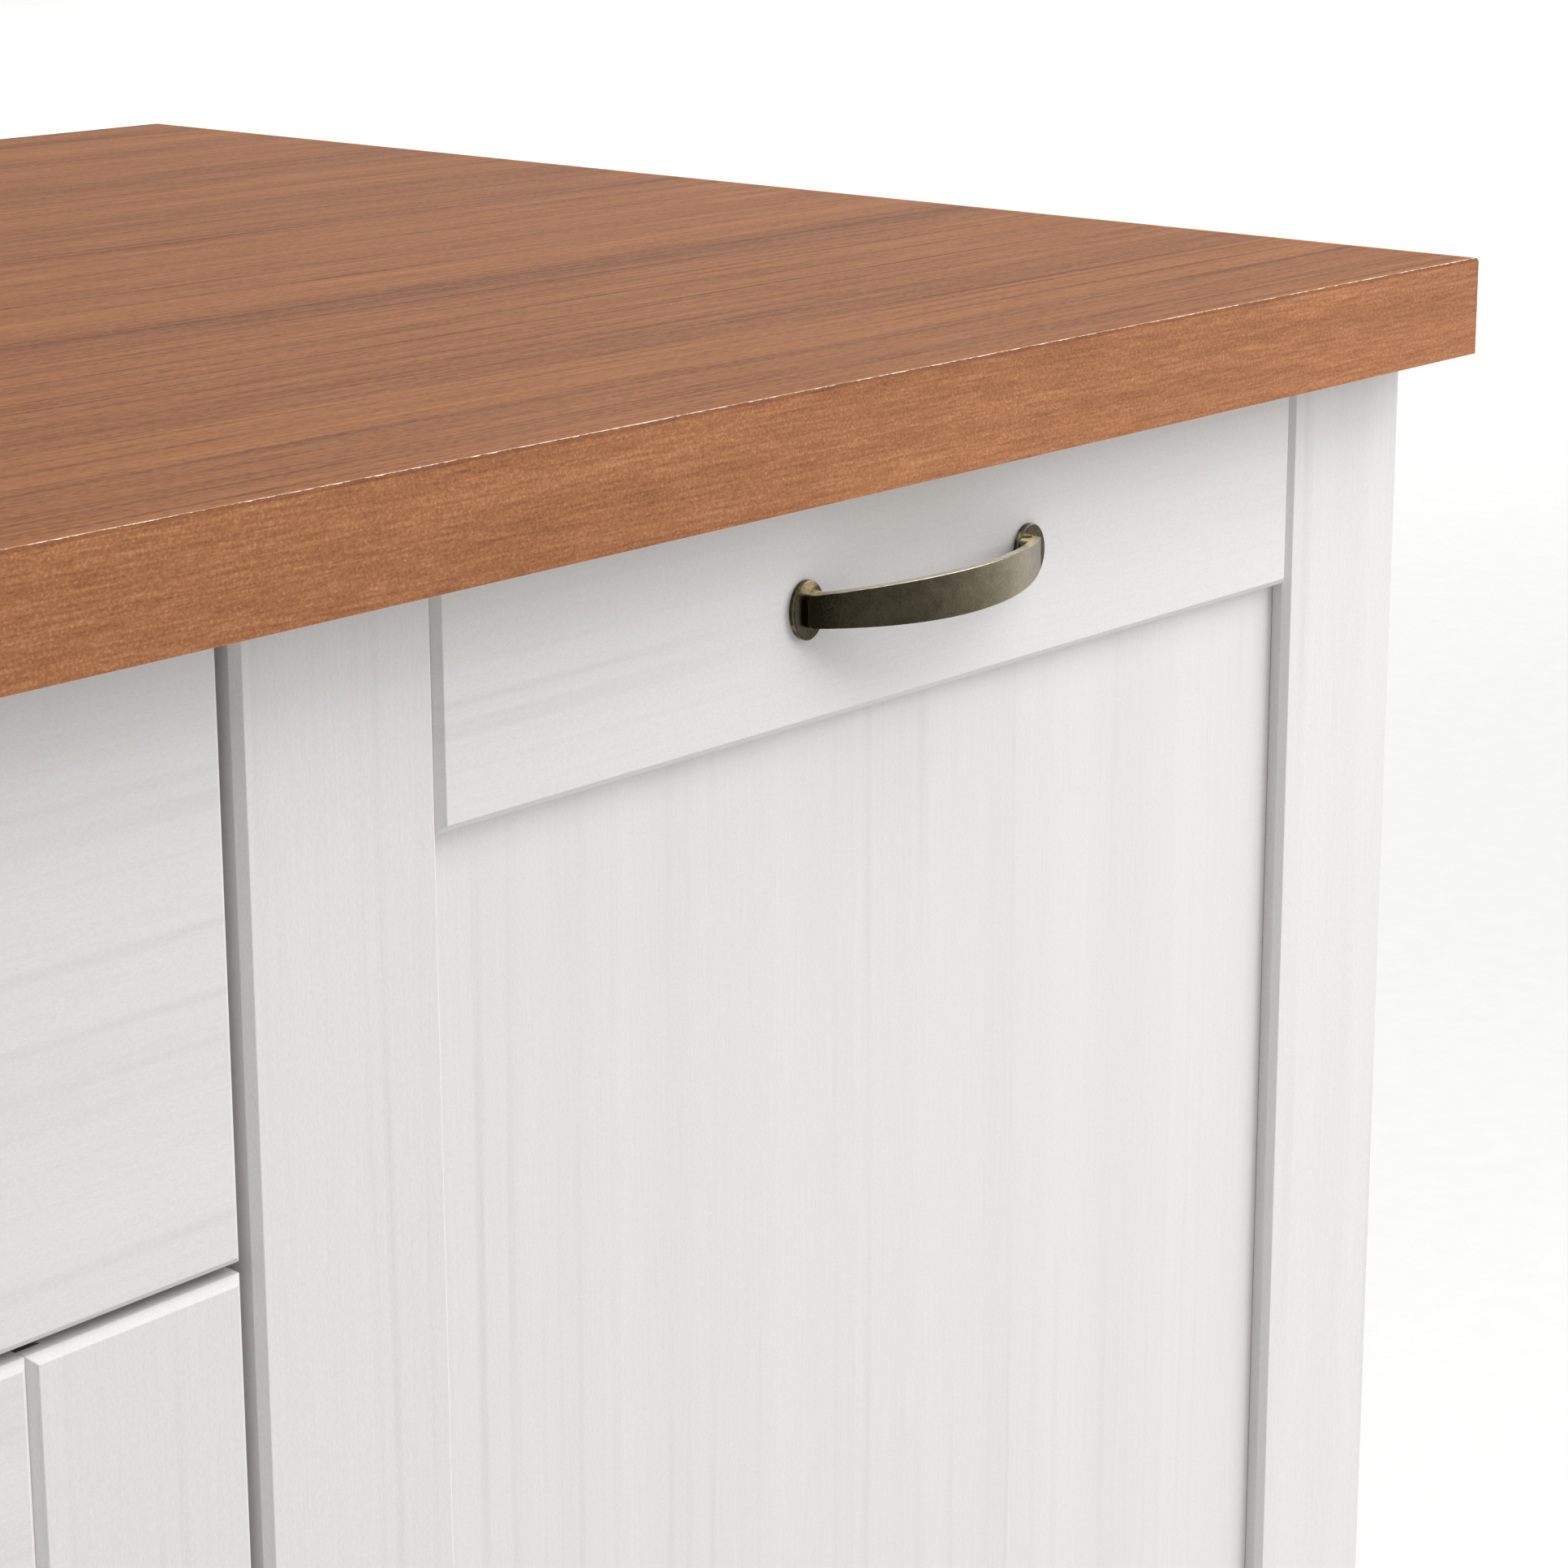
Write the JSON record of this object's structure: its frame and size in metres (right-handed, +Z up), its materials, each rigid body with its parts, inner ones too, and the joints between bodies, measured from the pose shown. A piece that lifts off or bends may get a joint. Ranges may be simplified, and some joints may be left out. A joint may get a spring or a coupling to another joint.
{
  "type": "kitchen base cabinet",
  "caption": "Two-bay kitchen base cabinet with a worktop, a drawer over a framed door, a framed pull-out with bins, and bow handles.",
  "frame": {"origin": "on the floor, at the middle of the partition's lower edge, half way along the carcass depth", "axes": "+X to the right of someone facing the cabinet, -Y is the front, +Z up"},
  "size_m": [0.911, 0.6, 0.848],
  "materials": {
    "white_board": "satin melamine-faced chipboard, white",
    "hardboard": "satin white-faced hardboard",
    "worktop_wood": "satin cherry-toned laminate with long grain",
    "worktop_edge": "satin cherry-toned edging",
    "front_foil": "matt white wood-grain foil on fibreboard",
    "drawer_board": "satin white-faced board",
    "aged_bronze": "satin aged bronze patina",
    "coated_steel": "gloss white epoxy-coated steel",
    "plated_steel": "satin nickel-plated steel",
    "roller_plastic": "matt moulded nylon",
    "bin_plastic": "matt moulded polypropylene, grey",
    "soft_rubber": "soft clear pad"
  },
  "bodies": {
    "carcass": {"side_panel_left": "white_board", "side_panel_right": "white_board", "partition_panel": "white_board", "bottom_panel_left": "white_board", "bottom_panel_right": "white_board", "back_panel_left": "hardboard", "back_panel_right": "hardboard", "front_stretchers": "white_board", "rear_stretchers": "white_board", "plinth_board": "white_board", "shelf": "white_board", "shelf_pins": "plated_steel", "cam_locks": "plated_steel", "worktop_board": "worktop_wood", "worktop_edging": "worktop_edge", "worktop_screws": "plated_steel", "drawer_cabinet_rail_left": "coated_steel", "drawer_cabinet_rail_right": "coated_steel", "pullout_cabinet_rail_left": "coated_steel", "pullout_cabinet_rail_right": "coated_steel", "cabinet_rail_rivets": "plated_steel", "hinge_arms": "plated_steel", "hinge_plates": "plated_steel"},
    "drawer": {"drawer_front": "front_foil", "drawer_side_left": "drawer_board", "drawer_side_right": "drawer_board", "drawer_back": "drawer_board", "drawer_bottom": "hardboard", "drawer_rail_left": "coated_steel", "drawer_rail_right": "coated_steel", "drawer_rail_rivets": "plated_steel", "drawer_handle": "aged_bronze", "drawer_handle_screws": "plated_steel"},
    "door": {"door_stile_left": "front_foil", "door_stile_right": "front_foil", "door_rail_top": "front_foil", "door_rail_bottom": "front_foil", "door_panel": "front_foil", "door_handle": "aged_bronze", "door_handle_screws": "plated_steel", "hinge_cups": "plated_steel", "hinge_pins": "plated_steel", "door_bumpers": "soft_rubber"},
    "pullout": {"pullout_stile_left": "front_foil", "pullout_stile_right": "front_foil", "pullout_rail_top": "front_foil", "pullout_rail_bottom": "front_foil", "pullout_panel": "front_foil", "pullout_handle": "aged_bronze", "pullout_handle_screws": "plated_steel", "pullout_frame": "coated_steel", "bin_front": "bin_plastic", "bin_rear": "bin_plastic", "pullout_rail_left": "coated_steel", "pullout_rail_right": "coated_steel", "pullout_rail_rivets": "plated_steel"},
    "drawer_front_rollers": {"drawer_front_rollers": "roller_plastic"},
    "drawer_rear_rollers": {"drawer_rear_rollers": "roller_plastic"},
    "pullout_front_rollers": {"pullout_front_rollers": "roller_plastic"},
    "pullout_rear_rollers": {"pullout_rear_rollers": "roller_plastic"}
  },
  "joints": [
    {"name": "drawer_slide", "type": "slide", "parent": "carcass", "child": "drawer", "axis": [0, -1, 0], "range_m": [0, 0.34]},
    {"name": "door_hinge", "type": "hinge", "parent": "carcass", "child": "door", "pos_m": [-0.44075, -0.2825, 0.38875], "axis": [0, 0, -1], "range_deg": [0, 95]},
    {"name": "pullout_slide", "type": "slide", "parent": "carcass", "child": "pullout", "axis": [0, -1, 0], "range_m": [0, 0.34]},
    {"name": "drawer_front_roller_turn", "type": "hinge", "parent": "carcass", "child": "drawer_front_rollers", "pos_m": [-0.221, -0.254, 0.7128], "axis": [1, 0, 0], "continuous": true},
    {"name": "drawer_rear_roller_turn", "type": "hinge", "parent": "drawer", "child": "drawer_rear_rollers", "pos_m": [-0.221, 0.165, 0.7103], "axis": [1, 0, 0], "continuous": true},
    {"name": "pullout_front_roller_turn", "type": "hinge", "parent": "carcass", "child": "pullout_front_rollers", "pos_m": [0.221, -0.254, 0.5328], "axis": [1, 0, 0], "continuous": true},
    {"name": "pullout_rear_roller_turn", "type": "hinge", "parent": "pullout", "child": "pullout_rear_rollers", "pos_m": [0.221, 0.165, 0.5303], "axis": [1, 0, 0], "continuous": true}
  ],
  "couplings": [
    {"joint": "drawer_front_roller_turn", "follows": "drawer_slide", "rad_per_m": 100},
    {"joint": "drawer_rear_roller_turn", "follows": "drawer_slide", "rad_per_m": 100},
    {"joint": "pullout_front_roller_turn", "follows": "pullout_slide", "rad_per_m": 100},
    {"joint": "pullout_rear_roller_turn", "follows": "pullout_slide", "rad_per_m": 100}
  ]
}
